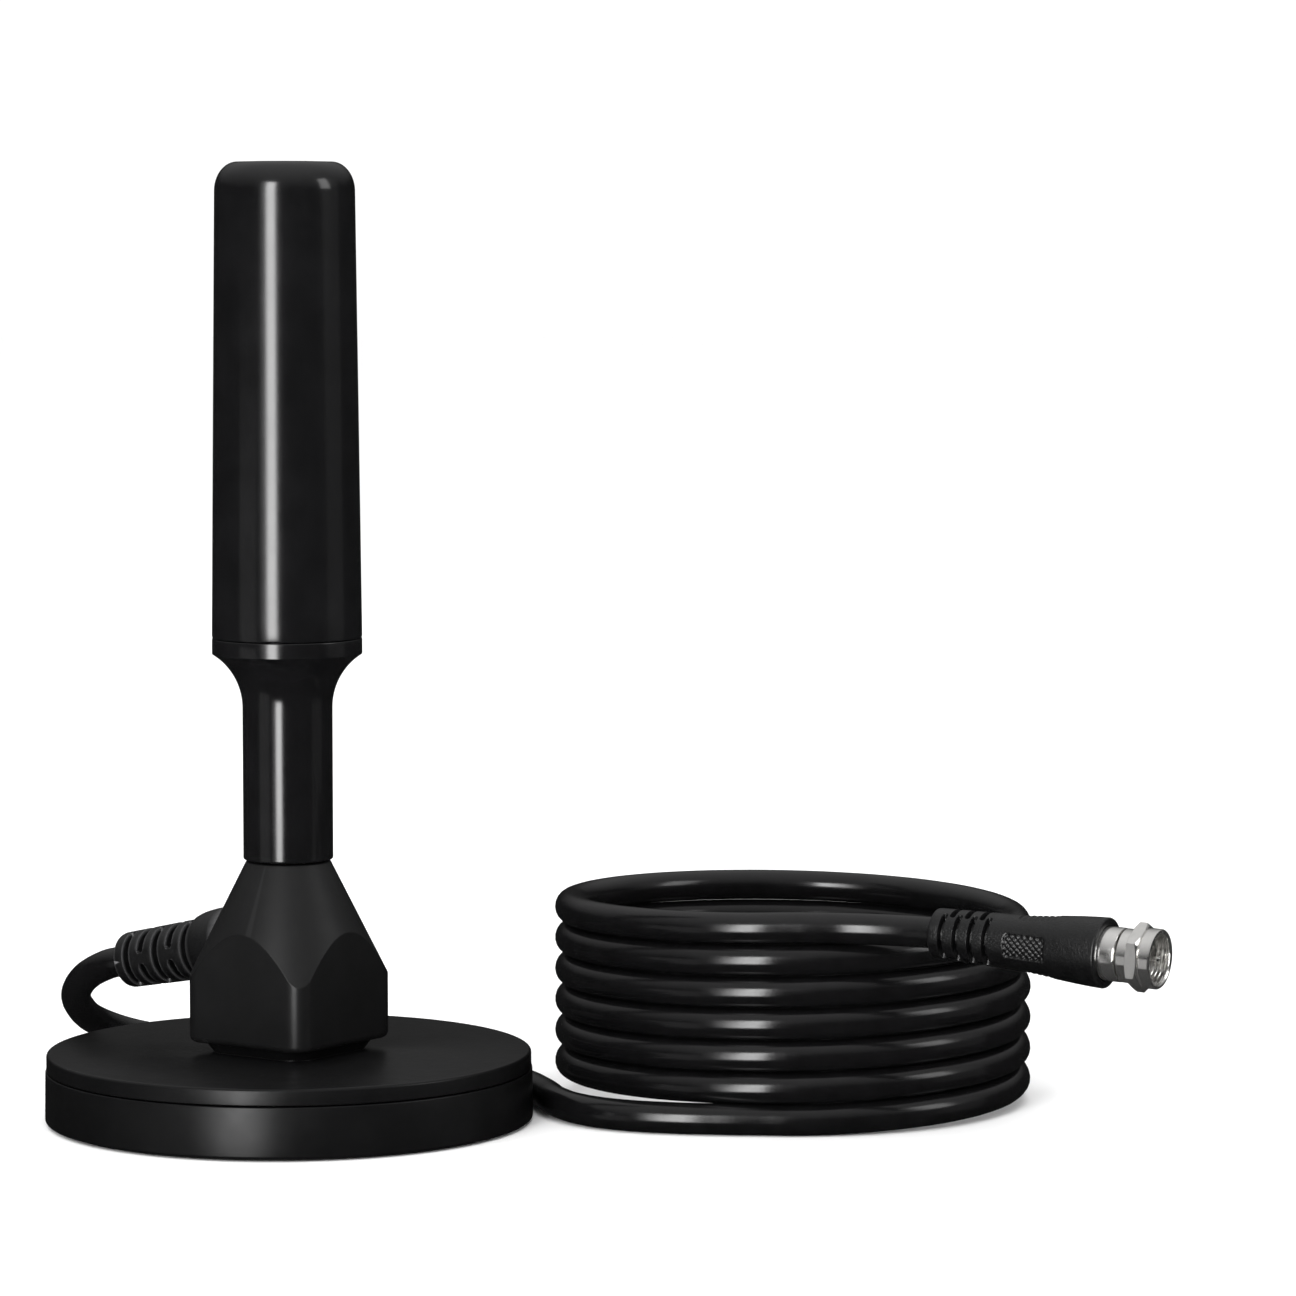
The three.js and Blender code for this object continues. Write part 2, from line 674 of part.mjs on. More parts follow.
function fittingBody() {
  return turned([
    [3.4, 27.3],
    [4.8, 27.3],
    [4.95, SLEEVE_END - 0.3],
    [4.95, SLEEVE_END],
    [3.9, SLEEVE_END],
    [3.9, SLEEVE_END + 1.2],
    [3.4, SLEEVE_END + 1.2],
  ], 24);
}

function couplingNut() {
  const start = NUT_START;
  const hex = raised(hexagon(NUT_FLATS), start + 2.0, NUT_END - 2.3);
  const corner = NUT_FLATS / Math.sqrt(3);
  const chamfer = turned([
    [0, start + 1.9],
    [corner - 0.7, start + 1.9],
    [corner + 0.05, start + 2.7],
    [corner + 0.05, NUT_END - 2.9],
    [corner - 0.7, NUT_END - 2.2],
    [0, NUT_END - 2.2],
  ], 24);
  const collar = ring(4.9, 0, start, start + 2.1, 24);
  const rim = ring(5.45, 0, NUT_END - 2.4, NUT_END, 24);
  const throat = ring(4.2, 0, start - 1, start + 1.9, 24);
  const socket = ring(4.6, 0, start + 1.8, NUT_END + 1, 24);
  return cut(join(common(hex, chamfer), collar, rim), throat, socket);
}

// Flared tube that the cord's braid is crimped on, with the flange that the nut turns against.
function mandrel() {
  return turned([
    [2.2, 28],
    [2.9, 28],
    [2.9, SLEEVE_END + 1.6],
    [4.2, SLEEVE_END + 2.5],
    [4.2, SLEEVE_END + 3.4],
    [2.2, SLEEVE_END + 3.4],
  ], 24);
}

add(plug, "plug_boot", plugBoot(), BOOT_GREY);
add(plug, "f_body", fittingBody(), NICKEL);
add(plug, "f_nut", couplingNut(), NICKEL);
add(plug, "f_mandrel", mandrel(), NICKEL);
add(plug, "f_dielectric", ring(1.9, 0.8, 27.6, SLEEVE_END + 3.3, 20), NATURAL_WHITE);
add(plug, "centre_pin", turned([
  [0, 27.9],
  [0.5, 27.9],
  [0.5, NUT_END - 0.5],
  [0.25, NUT_END],
  [0, NUT_END],
], 16), NICKEL);

add(antenna, "coax_lead", coaxLead(), CORD_BLACK);
add(antenna, "coax_coil", coaxCoil(), CORD_BLACK);
add(antenna, "coax_tail", coaxTail(), CORD_BLACK);

export default antenna;
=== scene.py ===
"""Indoor omnidirectional antenna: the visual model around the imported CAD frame."""
import json
import math

import bmesh
import bpy
from mathutils import Matrix, Vector


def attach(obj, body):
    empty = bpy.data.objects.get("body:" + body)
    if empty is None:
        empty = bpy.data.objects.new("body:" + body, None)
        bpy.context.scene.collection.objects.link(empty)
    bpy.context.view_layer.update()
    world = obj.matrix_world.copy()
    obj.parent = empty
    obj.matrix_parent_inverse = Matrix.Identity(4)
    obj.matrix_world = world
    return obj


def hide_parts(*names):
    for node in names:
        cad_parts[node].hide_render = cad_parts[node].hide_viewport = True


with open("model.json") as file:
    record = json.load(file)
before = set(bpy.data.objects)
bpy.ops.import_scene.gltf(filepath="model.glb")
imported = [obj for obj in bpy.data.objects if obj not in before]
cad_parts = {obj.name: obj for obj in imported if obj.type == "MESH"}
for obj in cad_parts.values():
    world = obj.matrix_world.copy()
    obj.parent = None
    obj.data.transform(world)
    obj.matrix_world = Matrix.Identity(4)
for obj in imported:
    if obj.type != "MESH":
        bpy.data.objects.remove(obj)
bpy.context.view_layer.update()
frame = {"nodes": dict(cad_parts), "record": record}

MM = 0.001
TAU = 2 * math.pi


# ---- camera -------------------------------------------------------------------------------

def make_camera():
    data = bpy.data.cameras.new("camera")
    data.sensor_width = 36
    data.lens = 147.2
    data.clip_start = 0.05
    data.clip_end = 30
    camera = bpy.data.objects.new("camera", data)
    camera.location = (0.0673, -0.985, 0.171)
    camera.rotation_euler = (math.radians(85.23), 0, 0)
    bpy.context.scene.collection.objects.link(camera)
    bpy.context.scene.camera = camera


make_camera()


# ---- dimensions shared with the frame, in millimetres --------------------------------------

BASE_RADIUS = 45.7
COVER_RADIUS = 45.4
SHELL_TOP = 9.9
COVER_BOTTOM = 10.12
BASE_TOP = 13.2

PLINTH_TOP = BASE_TOP + 1.9
PLINTH_SIDE = 25
PLINTH_CORNER = 5
BOSS_BOTTOM = PLINTH_TOP + 0.1
BOSS_TOP = 48.9
BOSS_CEILING = 38.0
BOSS_SIDE = 28.3
BOSS_CORNER = 3.3
BOSS_TOP_RADIUS = 7.9
BOSS_CONE_SLOPE = 0.501
BOSS_TURN = math.radians(144.8)

SEAL_RADIUS = 6.7
SEAL_BOTTOM = BOSS_TOP + 0.1
SEAL_TOP = BOSS_TOP + 1.1
NECK_BOTTOM = BOSS_TOP + 0.35
NECK_RADIUS = 8.4
NECK_BORE = 6.2
NECK_FLOOR = 56.2
FLARE_SWEEP = math.radians(58)
FLARE_TOP = 87.8
COLLAR_TOP = 90.7
SPIGOT_TOP = 96.0
RADOME_RADIUS = 14.0
RADOME_TOP_RADIUS = 13.05
RADOME_SHOULDER = 173.7
RADOME_WALL = 1.4
TOTAL_HEIGHT = 179.3
STUD_RADIUS = 2.85
STUD_BOTTOM = 40.4
STUD_TOP = 65.5
SOCKET_RADIUS = 5.0
SOCKET_BOTTOM = 37.8
SOCKET_TOP = 48.6
THREAD_PITCH = 1.0
THREAD_DEPTH = 0.42

GLAND_SLOPE = math.radians(11.5)
GLAND_FACE_Z = 32.0
GLAND_LENGTH = 25.3
GLAND_DOME_LENGTH = 6.3
GLAND_DOME_RADIUS = 7.1
GLAND_ROOT_RADIUS = 5.75
GLAND_MOUTH_RADIUS = 5.3
GLAND_RIB_PITCH = 3.72
GLAND_SLOT_DEPTH = 2.0

BOOT_BORE = 2.98

CORD_RADIUS = 2.9
COIL_CENTRE = (95.1, 25.0)
COIL_RADIUS = 42.7
COIL_PITCH = 5.95
COIL_TURNS = 6
COIL_PRESS = 1.018
TAIL_BEND = 51.0
TAIL_TURN = 29.5
PLUG_DROP = math.radians(2.3)
PLUG_LENGTH = 34.1
PLUG_POCKET = 27.0
PLUG_POCKET_RADIUS = 5.02
PLUG_ROOT_RADIUS = 4.6
PLUG_WAIST = 13
PLUG_WAIST_RADIUS = 4.95
PLUG_MOUTH_RADIUS = 6.45
PLUG_SLOT_START = 2.7
PLUG_SLOT_PITCH = 1.5
PLUG_SLOT_DEPTH = 1.3
SLEEVE_RADIUS = 4.95
SLEEVE_BORE = 3.4
SLEEVE_END = PLUG_LENGTH + 3.3
NUT_START = SLEEVE_END + 0.3
NUT_END = SLEEVE_END + 7.0
NUT_FLATS = 11.0
NUT_COLLAR_RADIUS = 4.9
NUT_RIM_RADIUS = 5.45
NUT_BORE = 4.55
NUT_THREAD_PITCH = 25.4 / 32
NUT_THREAD_DEPTH = 0.32


# ---- mesh helpers -------------------------------------------------------------------------

def filleted(corners, steps=4):
    """A closed outline with each corner (r, z, fillet) rounded by an arc of that radius."""
    outline = []
    count = len(corners)
    for i, (r, z, fillet) in enumerate(corners):
        here = Vector((r, z))
        if fillet == 0:
            outline.append((r, z))
            continue
        back = (Vector(corners[i - 1][:2]) - here).normalized()
        ahead = (Vector(corners[(i + 1) % count][:2]) - here).normalized()
        half = back.angle(ahead) / 2
        centre = here + (back + ahead).normalized() * (fillet / math.sin(half))
        start = here + back * (fillet / math.tan(half)) - centre
        end = here + ahead * (fillet / math.tan(half)) - centre
        sweep = start.angle_signed(end)
        for k in range(steps + 1):
            turn = Matrix.Rotation(-sweep * k / steps, 2)
            point = centre + turn @ start
            outline.append((point.x, point.y))
    return outline


def columns_mesh(name, outline_of, columns, place=None, sharp=32.0):
    """A closed skin whose section at each angle is outline_of(angle), a closed list of (r, z) in mm."""
    bm = bmesh.new()
    rows = []
    for c in range(columns):
        angle = TAU * c / columns
        ca, sa = math.cos(angle), math.sin(angle)
        rows.append([bm.verts.new((r * ca * MM, r * sa * MM, z * MM)) for r, z in outline_of(angle)])
    size = len(rows[0])
    for c in range(columns):
        here, there = rows[c], rows[(c + 1) % columns]
        for k in range(size):
            j = (k + 1) % size
            bm.faces.new((here[k], there[k], there[j], here[j]))
    bmesh.ops.remove_doubles(bm, verts=bm.verts, dist=1e-7)
    bmesh.ops.dissolve_degenerate(bm, edges=bm.edges, dist=1e-7)
    if place is not None:
        bm.transform(place)
    bmesh.ops.recalc_face_normals(bm, faces=bm.faces)
    mesh = bpy.data.meshes.new(name)
    bm.to_mesh(mesh)
    bm.free()
    smooth(mesh, sharp)
    return mesh


def smooth(mesh, sharp=32.0):
    mesh.polygons.foreach_set("use_smooth", [True] * len(mesh.polygons))
    mesh.set_sharp_from_angle(angle=math.radians(sharp))


def turned_mesh(name, outline, columns=96, place=None):
    return columns_mesh(name, lambda angle: outline, columns, place)


def piece(name, mesh, material, body, slot, *nodes):
    """An object that rides with a body, wears the given material and stands for CAD nodes. Its slot
    argument is not used.
    """
    obj = bpy.data.objects.new(name, mesh)
    bpy.context.scene.collection.objects.link(obj)
    mesh.materials.append(material)
    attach(obj, body)
    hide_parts(*nodes)
    return obj


def along(origin, direction):
    """A frame at origin (mm) whose Z runs along direction and whose X points as far up as it can."""
    z = direction.normalized()
    x = (Vector((0, 0, 1)) - z * z.z).normalized()
    y = z.cross(x)
    turn = Matrix((x, y, z)).transposed().to_4x4()
    return Matrix.Translation(Vector(origin) * MM) @ turn


def ramp(value, low, high):
    """0 below low, 1 above high, and a smooth step between."""
    t = min(max((value - low) / (high - low), 0.0), 1.0)
    return t * t * (3 - 2 * t)


# ---- materials ----------------------------------------------------------------------------

def node(tree, kind, **values):
    made = tree.nodes.new(kind)
    for key, value in values.items():
        setattr(made, key, value)
    return made


def noise(tree, coords, scale, detail=2.0, roughness=0.5):
    made = node(tree, "ShaderNodeTexNoise")
    made.inputs["Scale"].default_value = scale
    made.inputs["Detail"].default_value = detail
    made.inputs["Roughness"].default_value = roughness
    tree.links.new(coords, made.inputs["Vector"])
    return made.outputs["Fac"]


def mapped(tree, value, low, high, to_low, to_high):
    made = node(tree, "ShaderNodeMapRange")
    for key, number in zip(("From Min", "From Max", "To Min", "To Max"), (low, high, to_low, to_high)):
        made.inputs[key].default_value = number
    tree.links.new(value, made.inputs["Value"])
    return made.outputs["Result"]


def blended(tree, factor, first, second):
    made = node(tree, "ShaderNodeMix", data_type="RGBA")
    for socket, value in ((made.inputs[6], first), (made.inputs[7], second)):
        if isinstance(value, bpy.types.NodeSocket):
            tree.links.new(value, socket)
        else:
            socket.default_value = (*value, 1)
    tree.links.new(factor, made.inputs[0])
    return made.outputs[2]


def surface(name, color, roughness, metallic=0.0, specular=0.5, variation=0.2, patch=120.0,
            rough_swing=0.05, grain=0.0, grain_scale=4000.0, wear_and_sheen=0.0, wear_and_sheen_color=None,
            streaks=0.0):
    """Principled plastic, rubber or metal with mottled colour, uneven gloss, grain, and convex edges
    painted lighter, which is partly wear and partly a painted edge highlight.
    """
    material = bpy.data.materials.new(name)
    material.use_nodes = True
    tree = material.node_tree
    shader = tree.nodes["Principled BSDF"]
    shader.inputs["Metallic"].default_value = metallic
    shader.inputs["Specular IOR Level"].default_value = specular
    coords = node(tree, "ShaderNodeTexCoord").outputs["Object"]
    mottle = noise(tree, coords, patch, 4.0, 0.6)
    spread = mapped(tree, mottle, 0.3, 0.7, 0.0, 1.0)
    dark = [c * (1 - variation) for c in color]
    light = [min(c * (1 + variation), 1) for c in color]
    shade = blended(tree, spread, dark, light)
    # Convex edges get a lighter colour: partly wear, partly a painted highlight along the edges.
    if wear_and_sheen:
        edges = node(tree, "ShaderNodeNewGeometry").outputs["Pointiness"]
        edge_wear_and_sheen = mapped(tree, edges, 0.52, 0.60, 0.0, wear_and_sheen)
        shade = blended(tree, edge_wear_and_sheen, shade, wear_and_sheen_color or [min(c * 4, 1) for c in color])
    tree.links.new(shade, shader.inputs["Base Color"])
    smear = noise(tree, coords, patch * 2.3, 5.0, 0.65)
    gloss = mapped(tree, smear, 0.25, 0.75, roughness - rough_swing, roughness + rough_swing)
    tree.links.new(gloss, shader.inputs["Roughness"])
    if grain or streaks:
        if streaks:
            stretch = node(tree, "ShaderNodeMapping")
            stretch.inputs["Scale"].default_value = (1, 1, 0.02)
            tree.links.new(coords, stretch.inputs["Vector"])
            relief = noise(tree, stretch.outputs["Vector"], grain_scale, 2.0)
        else:
            relief = noise(tree, coords, grain_scale, 3.0, 0.6)
        bump = node(tree, "ShaderNodeBump")
        bump.inputs["Strength"].default_value = grain or streaks
        bump.inputs["Distance"].default_value = 0.00008
        tree.links.new(relief, bump.inputs["Height"])
        tree.links.new(bump.outputs["Normal"], shader.inputs["Normal"])
    return material


GLOSS = surface("gloss_black", (0.0042, 0.0042, 0.0045), 0.17, specular=0.5, variation=0.25,
                rough_swing=0.02, grain=0.03, grain_scale=900.0, wear_and_sheen=0.1)
SATIN = surface("boss_satin", (0.0050, 0.0050, 0.0052), 0.42, specular=0.30, variation=0.16,
                grain=0.12, grain_scale=5200.0, wear_and_sheen=0.3)
BASE_SATIN = surface("base_satin", (0.0034, 0.0034, 0.0036), 0.34, specular=0.22, variation=0.18,
                     grain=0.12, grain_scale=5200.0)
FOOT = surface("foot_rubber", (0.018, 0.018, 0.018), 0.82, specular=0.3, variation=0.3,
               grain=0.5, grain_scale=2600.0, wear_and_sheen=0.1)
SEAL = surface("seal_rubber", (0.010, 0.010, 0.010), 0.75, specular=0.3, variation=0.25,
               grain=0.3, grain_scale=3000.0)
# The boot's ribs and slot edges are painted much lighter: partly wear, partly a painted highlight along
# its edges.
BOOT = surface("boot_rubber", (0.0030, 0.0030, 0.0032), 0.38, specular=0.50, variation=0.4,
               patch=400.0, rough_swing=0.10, grain=0.9, grain_scale=3000.0, wear_and_sheen=0.8,
               wear_and_sheen_color=(0.16, 0.16, 0.165))
PLUG = surface("plug_rubber", (0.0026, 0.0026, 0.0028), 0.34, specular=0.50, variation=0.4,
               patch=400.0, rough_swing=0.08, grain=1.0, grain_scale=2200.0, wear_and_sheen=0.12,
               wear_and_sheen_color=(0.06, 0.06, 0.062))
JACKET = surface("cord_jacket", (0.0035, 0.0035, 0.0037), 0.20, specular=0.45, variation=0.25,
                 patch=260.0, rough_swing=0.04, grain=0.08, grain_scale=1500.0)
NICKEL = surface("nickel", (0.84, 0.83, 0.81), 0.14, metallic=0.97, variation=0.05,
                 patch=300.0, rough_swing=0.06, grain=0.06, grain_scale=5000.0, wear_and_sheen=0.2,
                 wear_and_sheen_color=(0.8, 0.79, 0.77))
STEEL = surface("zinc_steel", (0.50, 0.50, 0.51), 0.34, metallic=1.0, variation=0.12,
                rough_swing=0.08, streaks=0.15, grain_scale=3000.0)
FERRITE = surface("ferrite", (0.045, 0.045, 0.05), 0.62, specular=0.4, variation=0.3,
                  grain=0.6, grain_scale=2500.0, wear_and_sheen=0.4)
BRASS = surface("turned_brass", (0.72, 0.52, 0.22), 0.26, metallic=1.0, variation=0.1,
                rough_swing=0.06, grain=0.06, grain_scale=4000.0, wear_and_sheen=0.2,
                wear_and_sheen_color=(0.85, 0.66, 0.33))
COPPER = surface("copper", (0.72, 0.34, 0.18), 0.26, metallic=1.0, variation=0.15,
                 rough_swing=0.07, grain=0.05, grain_scale=3000.0)
BOARD = surface("board_green", (0.015, 0.11, 0.035), 0.38, specular=0.5, variation=0.2,
                grain=0.1, grain_scale=2500.0)
CERAMIC = surface("chip_ceramic", (0.42, 0.30, 0.18), 0.45, variation=0.15, grain=0.1)
WHITE = surface("white_plastic", (0.70, 0.70, 0.67), 0.48, variation=0.06, grain=0.12,
                grain_scale=3000.0)
SLOT_MATERIALS = {
    "radome_gloss": GLOSS, "neck_gloss": GLOSS, "boss_satin": SATIN, "base_satin": BASE_SATIN,
    "foot_rubber": FOOT, "seal_rubber": SEAL, "relief_rubber": BOOT, "plug_rubber": PLUG,
    "cord_pvc": JACKET, "nickel": NICKEL, "steel": STEEL, "ferrite": FERRITE, "brass": BRASS,
    "copper": COPPER, "board_green": BOARD, "chip_ceramic": CERAMIC, "white_plastic": WHITE,
}


def dress_frame():
    """Gives every CAD node the procedural material of its slot."""
    for row in frame["record"]["subparts"]:
        obj = frame["nodes"][row["node"]]
        material = SLOT_MATERIALS[row["material_slot"]]
        obj.data.materials.clear()
        obj.data.materials.append(material)


dress_frame()


# ---- coaxial lead -------------------------------------------------------------------------

def gland_place():
    """Where the strain relief leaves the boss, and which way it points."""
    way = Vector((
        math.cos(BOSS_TURN) * math.cos(GLAND_SLOPE),
        math.sin(BOSS_TURN) * math.cos(GLAND_SLOPE),
        -math.sin(GLAND_SLOPE),
    ))
    half = BOSS_SIDE / 2
    face = Vector((math.cos(BOSS_TURN) * half, math.sin(BOSS_TURN) * half, GLAND_FACE_Z))
    return face, way


# The route of the loop behind the base, to where it meets the foot of the coil.
LEAD_ROUTE = [
    (-36.8, 26.0, 25.5),
    (-43.2, 35.4, 20.2),
    (-44.0, 48.0, 13.5),
    (-40.2, 57.8, 8.9),
    (-31.6, 64.6, 5.3),
    (-20.0, 67.0, 3.4),
    (-8.0, 63.4, CORD_RADIUS),
    (4.0, 56.4, CORD_RADIUS),
    (20.0, 47.0, CORD_RADIUS),
    (33.0, 37.6, CORD_RADIUS),
    (42.5, 25.0, CORD_RADIUS),
    (47.8, 11.5, CORD_RADIUS),
    (50.4, 2.0, CORD_RADIUS),
    (55.0, -6.3, CORD_RADIUS),
    (62.0, -12.0, CORD_RADIUS),
]


def tail_point(degrees):
    """A point on the bend that leads from the top turn to the plug."""
    a = math.radians(degrees)
    return Vector((
        COIL_CENTRE[0] + TAIL_BEND * math.sin(a),
        COIL_CENTRE[1] - COIL_RADIUS - TAIL_BEND + TAIL_BEND * math.cos(a),
        CORD_RADIUS + COIL_TURNS * COIL_PITCH,
    ))


def cord_route():
    """The lead's centreline in mm, from the boot's mouth to the plug."""
    face, way = gland_place()
    route = [face + way * (GLAND_LENGTH - 0.25)]
    route += [Vector(p) for p in LEAD_ROUTE]
    # The lead meets the coil's circle little by little.
    for degrees, spread in ((-120, 4.0), (-109, 1.5), (-99, 0.2)):
        a = math.radians(degrees)
        route.append(Vector((
            COIL_CENTRE[0] + (COIL_RADIUS + spread) * math.cos(a),
            COIL_CENTRE[1] + (COIL_RADIUS + spread) * math.sin(a),
            CORD_RADIUS,
        )))
    per_turn = 24
    for i in range(COIL_TURNS * per_turn + 1):
        a = TAU * i / per_turn - math.pi / 2
        route.append(Vector((
            COIL_CENTRE[0] + COIL_RADIUS * math.cos(a),
            COIL_CENTRE[1] + COIL_RADIUS * math.sin(a),
            CORD_RADIUS + COIL_PITCH * i / per_turn,
        )))
    route += [tail_point(d) for d in (10, 20, TAIL_TURN)]
    return route


def wound(point):
    """True for the turns of the coil, which press lightly on each other."""
    reach = math.hypot(point.x - COIL_CENTRE[0], point.y - COIL_CENTRE[1])
    return abs(reach - COIL_RADIUS) < 0.1


def make_cord():
    points = cord_route()
    curve = bpy.data.curves.new("coax_cord", "CURVE")
    curve.dimensions = "3D"
    curve.bevel_depth = CORD_RADIUS * MM
    curve.bevel_resolution = 9
    curve.resolution_u = 6
    curve.use_fill_caps = True
    spline = curve.splines.new("BEZIER")
    spline.bezier_points.add(len(points) - 1)
    for target, point in zip(spline.bezier_points, points):
        target.co = point * MM
        target.handle_left_type = "AUTO"
        target.handle_right_type = "AUTO"
        target.radius = COIL_PRESS if wound(point) else 1.0
    cord = bpy.data.objects.new("coax_cord", curve)
    bpy.context.scene.collection.objects.link(cord)
    curve.materials.append(JACKET)
    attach(cord, "base")
    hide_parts("coax_lead", "coax_coil", "coax_tail")
    return cord, points


cord, cord_points = make_cord()
plug_start = tail_point(TAIL_TURN)
plug_way = Vector((
    math.cos(math.radians(TAIL_TURN)) * math.cos(PLUG_DROP),
    -math.sin(math.radians(TAIL_TURN)) * math.cos(PLUG_DROP),
    -math.sin(PLUG_DROP),
))
plug_place = along(plug_start, plug_way)


# ---- base ---------------------------------------------------------------------------------

def foot_pad():
    """The rubber foot, with rings of shallow grooves."""
    rim = BASE_RADIUS - 1.7
    corners = [(0, 0, 0)]
    for groove in range(10, 41, 6):
        corners += [(groove - 0.5, 0, 0.15), (groove - 0.4, 0.5, 0.1), (groove + 0.4, 0.5, 0.1),
                    (groove + 0.5, 0, 0.15)]
    corners += [(rim, 0, 0.3), (rim, 1.6, 0.1), (0, 1.6, 0)]
    return turned_mesh("foot_pad_piece", filleted(corners, 3), 128)


def base_shell():
    inside = COVER_RADIUS - 2
    corners = [
        (0, 1.9, 0), (BASE_RADIUS - 1.4, 1.9, 0.1), (BASE_RADIUS - 1.4, 0.5, 0.2),
        (BASE_RADIUS, 0.5, 0.5), (BASE_RADIUS - 0.1, SHELL_TOP, 0.22),
        (inside, SHELL_TOP, 0.1), (inside, 3.5, 0.2), (0, 3.5, 0),
    ]
    return turned_mesh("base_shell_piece", filleted(corners), 160)


def square_radius(angle, side, corner):
    """Distance from the middle to the edge of a rounded square, at an angle."""
    a = abs((angle + math.pi / 4) % (math.pi / 2) - math.pi / 4)
    half = side / 2
    flat = half - corner
    if half * math.tan(a) <= flat:
        return half / math.cos(a)
    reach = flat * (math.cos(a) + math.sin(a))
    return reach + math.sqrt(reach * reach - 2 * flat * flat + corner * corner)


def base_cover():
    """The upper half, with the undercut plinth that the boss stands on."""
    inside = COVER_RADIUS - 2

    def outline_of(angle):
        plinth = square_radius(angle - BOSS_TURN, PLINTH_SIDE, PLINTH_CORNER)
        return filleted([
            (0, BASE_TOP - 2, 0), (inside, BASE_TOP - 2, 0.3), (inside, COVER_BOTTOM, 0.1),
            (COVER_RADIUS, COVER_BOTTOM, 0.22), (COVER_RADIUS, BASE_TOP, 0.6),
            (plinth - 1.5, BASE_TOP, 0.1), (plinth, PLINTH_TOP, 0.1), (0, PLINTH_TOP, 0),
        ], 6)

    return columns_mesh("base_cover_piece", outline_of, 240)


piece("foot_pad_piece", foot_pad(), FOOT, "base", "foot_rubber", "foot_pad")
piece("base_shell_piece", base_shell(), BASE_SATIN, "base", "base_satin", "base_shell")
piece("base_cover_piece", base_cover(), BASE_SATIN, "base", "base_satin", "base_cover")


# ---- boss ---------------------------------------------------------------------------------

def cone_edge(reach, apex):
    """Height at which a cone from the boss's top radius at apex has widened to reach."""
    return apex - (reach - BOSS_TOP_RADIUS) / BOSS_CONE_SLOPE


def boss_housing():
    """A hollow prism that a cone cuts off above, which leaves an arch on each side."""
    hole = SOCKET_RADIUS + 0.3
    inner_apex = BOSS_TOP - 5.2
    roof_radius = BOSS_TOP_RADIUS + (inner_apex - BOSS_CEILING) * BOSS_CONE_SLOPE

    def outline_of(angle):
        wide = square_radius(angle, BOSS_SIDE, BOSS_CORNER)
        narrow = square_radius(angle, BOSS_SIDE - 4, BOSS_CORNER - 1.5)
        return filleted([
            (narrow, BOSS_BOTTOM, 0.1),
            (wide, BOSS_BOTTOM, 1.2),
            (wide, cone_edge(wide, BOSS_TOP), 0.7),
            (BOSS_TOP_RADIUS, BOSS_TOP, 0.35),
            (hole, BOSS_TOP, 0.15),
            (hole, BOSS_CEILING, 0.1),
            (roof_radius, BOSS_CEILING, 0.2),
            (narrow, cone_edge(narrow, inner_apex), 0.3),
        ], 6)

    place = Matrix.Rotation(BOSS_TURN, 4, "Z")
    return columns_mesh("boss_housing_piece", outline_of, 288, place, 40.0)


piece("boss_housing_piece", boss_housing(), SATIN, "base", "boss_satin", "boss_housing")


def thread(radius, depth, pitch, start, stop, angle, inside=False, steps=8):
    """Points up a screw thread at one angle: crests at radius, fading out at both ends."""
    points = []
    count = int(round((stop - start) / pitch * steps))
    for k in range(count + 1):
        z = start + (stop - start) * k / count
        phase = (z / pitch - angle / TAU) % 1.0
        wave = min(max(1.35 - 2.7 * abs(2 * phase - 1), 0.0), 1.0)
        fade = ramp(z, start, start + 0.7 * pitch) * (1 - ramp(z, stop - 0.7 * pitch, stop))
        cut = depth * (1 - wave) * fade
        points.append((radius + cut if inside else radius - cut, z))
    return points


def mast_socket():
    """A knurled brass insert with a groove round its middle and a thread inside."""

    def outline_of(angle):
        low, rim = SOCKET_BOTTOM, SOCKET_RADIUS
        bore = thread(STUD_RADIUS + 0.12, THREAD_DEPTH, THREAD_PITCH, low + 0.4, SOCKET_TOP - 0.4,
                      angle, True)
        cut = rim - 0.12 * abs(math.sin(24 * angle))
        outside = [
            (rim - 0.3, low), (rim, low + 0.3), (rim, low + 1.2), (cut, low + 1.4), (cut, low + 4.1),
            (rim - 0.5, low + 4.5), (rim - 0.5, low + 5.9), (cut, low + 6.3), (cut, low + 9.4),
            (rim + 0.15, low + 9.6), (rim + 0.15, SOCKET_TOP - 0.15), (rim, SOCKET_TOP),
        ]
        return [(bore[0][0] + 0.3, low)] + outside + [(bore[-1][0] + 0.3, SOCKET_TOP)] + bore[::-1]

    return columns_mesh("mast_socket_piece", outline_of, 96)


piece("mast_socket_piece", mast_socket(), BRASS, "base", "brass", "mast_socket")


# ---- strain relief ------------------------------------------------------------------------

def slot_depth(t, angle, slots, radius, half_width, side_web, end_web):
    """How deep a slotted boot is cut, 0 to 1: slots come from both sides and from top and bottom."""
    depth = 0.0
    for centre, kind in slots:
        near = abs(t - centre)
        if near > half_width + 0.2:
            continue
        sideways = abs(math.sin(angle)) if kind == "side" else abs(math.cos(angle))
        web = math.radians(side_web if kind == "side" else end_web)
        across = (math.asin(min(sideways, 1.0)) - web) * radius
        rounded = max(half_width - across, 0.0)
        depth = max(depth, ramp(half_width - math.hypot(near, rounded), -0.1, 0.1))
    return depth


def slot_stations(slots, half_width):
    """Places along a boot that give every slot crisp walls."""
    stations = [centre for centre, _ in slots]
    for centre, _ in slots:
        for wall in (centre - half_width, centre + half_width):
            stations += [wall + step for step in (-0.16, -0.09, -0.03, 0.03, 0.09, 0.16)]
    return stations


